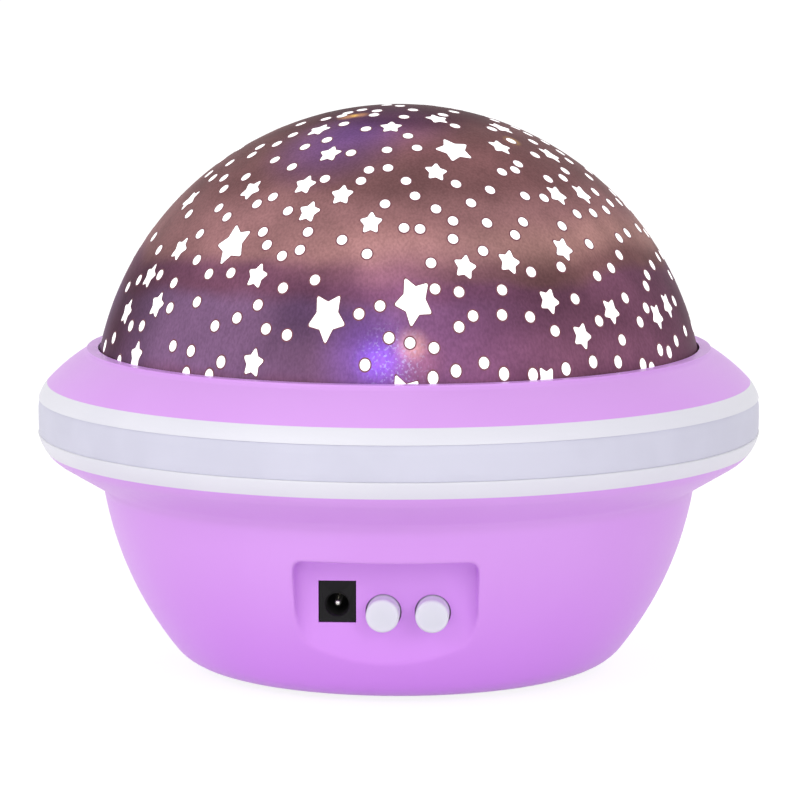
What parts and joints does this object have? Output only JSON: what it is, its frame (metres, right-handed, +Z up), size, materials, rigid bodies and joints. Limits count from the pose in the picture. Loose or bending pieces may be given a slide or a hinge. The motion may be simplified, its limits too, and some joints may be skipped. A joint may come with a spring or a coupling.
{
  "type": "star night light projector",
  "caption": "Round tabletop night light with a ring-shaped shelf, push buttons, a power socket and a star dome that a small geared motor turns over its lamps.",
  "frame": {"origin": "on the table under the centre of the base, at the bottom of the feet", "axes": "+Z up through the dome; the control recess with the socket and buttons faces -Y"},
  "size_m": [0.1446, 0.1446, 0.1127],
  "materials": {
    "lilac_shell": "satin moulded lilac plastic",
    "white_shell": "satin moulded white plastic",
    "frosted_band": "fine frosted strip",
    "smoke_dome": "glossy smoked plastic with a star pattern of clear windows",
    "natural_plastic": "moulded",
    "gear_plastic": "moulded acetal",
    "white_plastic": "moulded",
    "steel": "zinc plated",
    "brass_gear": "turned",
    "black_plastic": "moulded",
    "lamp_board": "white coated board",
    "lamp_warm": "clear epoxy",
    "lamp_red": "tinted epoxy",
    "lamp_green": "tinted epoxy",
    "lamp_blue": "tinted epoxy",
    "circuit_board": "coated board",
    "plated_contact": "nickel plated",
    "button_cap": "satin moulded white plastic",
    "foot_rubber": "moulded",
    "lead_sleeve": "insulated wire"
  },
  "bodies": {
    "base": {"lower_bowl": "lilac_shell", "upper_shell": "lilac_shell", "white_rim": "white_shell", "frosted_band": "frosted_band", "inner_chassis": "natural_plastic", "gearbox_case": "white_plastic", "gearbox_cover": "white_plastic", "gear_pins": "steel", "motor_can": "steel", "motor_endcap": "black_plastic", "lamp_post": "black_plastic", "lamp_board": "lamp_board", "lamp_warm": "lamp_warm", "lamp_red": "lamp_red", "lamp_green": "lamp_green", "lamp_blue": "lamp_blue", "lamp_board_screws": "steel", "main_board": "circuit_board", "board_components": "black_plastic", "dc_jack": "black_plastic", "jack_pin": "plated_contact", "jack_terminals": "plated_contact", "light_switch": "black_plastic", "motor_switch": "black_plastic", "battery_box": "black_plastic", "cell_springs": "plated_contact", "cell_plates": "plated_contact", "rubber_feet": "foot_rubber", "case_screws": "steel", "shell_screws": "steel", "gearbox_screws": "steel", "board_screws": "steel", "motor_leads": "lead_sleeve", "lamp_leads": "lead_sleeve", "battery_leads": "lead_sleeve"},
    "dome": {"star_dome": "smoke_dome", "dome_turntable": "natural_plastic"},
    "output": {"output_gear": "gear_plastic", "drive_pinion": "gear_plastic"},
    "idler": {"compound_gear_2": "gear_plastic"},
    "first_gear": {"compound_gear_1": "gear_plastic"},
    "rotor": {"motor_shaft": "steel", "motor_pinion": "brass_gear"},
    "light_key": {"light_button": "button_cap", "light_switch_stem": "white_plastic"},
    "motor_key": {"motor_button": "button_cap", "motor_switch_stem": "white_plastic"},
    "door": {"battery_door": "lilac_shell", "door_screw": "steel"}
  },
  "joints": [
    {"name": "dome_spin", "type": "hinge", "parent": "base", "child": "dome", "pos_m": [0, 0, 0.05], "axis": [0, 0, 1], "continuous": true},
    {"name": "output_spin", "type": "hinge", "parent": "base", "child": "output", "pos_m": [0.035, 0, 0.04], "axis": [0, 0, 1], "continuous": true},
    {"name": "idler_spin", "type": "hinge", "parent": "base", "child": "idler", "pos_m": [0.02972, 0.01133, 0.034], "axis": [0, 0, 1], "continuous": true},
    {"name": "first_gear_spin", "type": "hinge", "parent": "base", "child": "first_gear", "pos_m": [0.035, 0, 0.031], "axis": [0, 0, 1], "continuous": true},
    {"name": "rotor_spin", "type": "hinge", "parent": "base", "child": "rotor", "pos_m": [0.03824, -0.01207, 0.025], "axis": [0, 0, 1], "continuous": true},
    {"name": "light_press", "type": "slide", "parent": "base", "child": "light_key", "axis": [0, 1, 0], "range_m": [0, 0.001], "stiffness_N_per_m": 1200, "springref_m": -0.0002},
    {"name": "motor_press", "type": "slide", "parent": "base", "child": "motor_key", "axis": [0, 1, 0], "range_m": [0, 0.001], "stiffness_N_per_m": 1200, "springref_m": -0.0002},
    {"name": "door_off", "type": "slide", "parent": "base", "child": "door", "axis": [0, 0, -1], "range_m": [0, 0.015]}
  ],
  "couplings": [
    {"joint": "output_spin", "follows": "dome_spin", "ratio": 6},
    {"joint": "idler_spin", "follows": "dome_spin", "ratio": -24},
    {"joint": "first_gear_spin", "follows": "dome_spin", "ratio": 96},
    {"joint": "rotor_spin", "follows": "dome_spin", "ratio": -384}
  ]
}
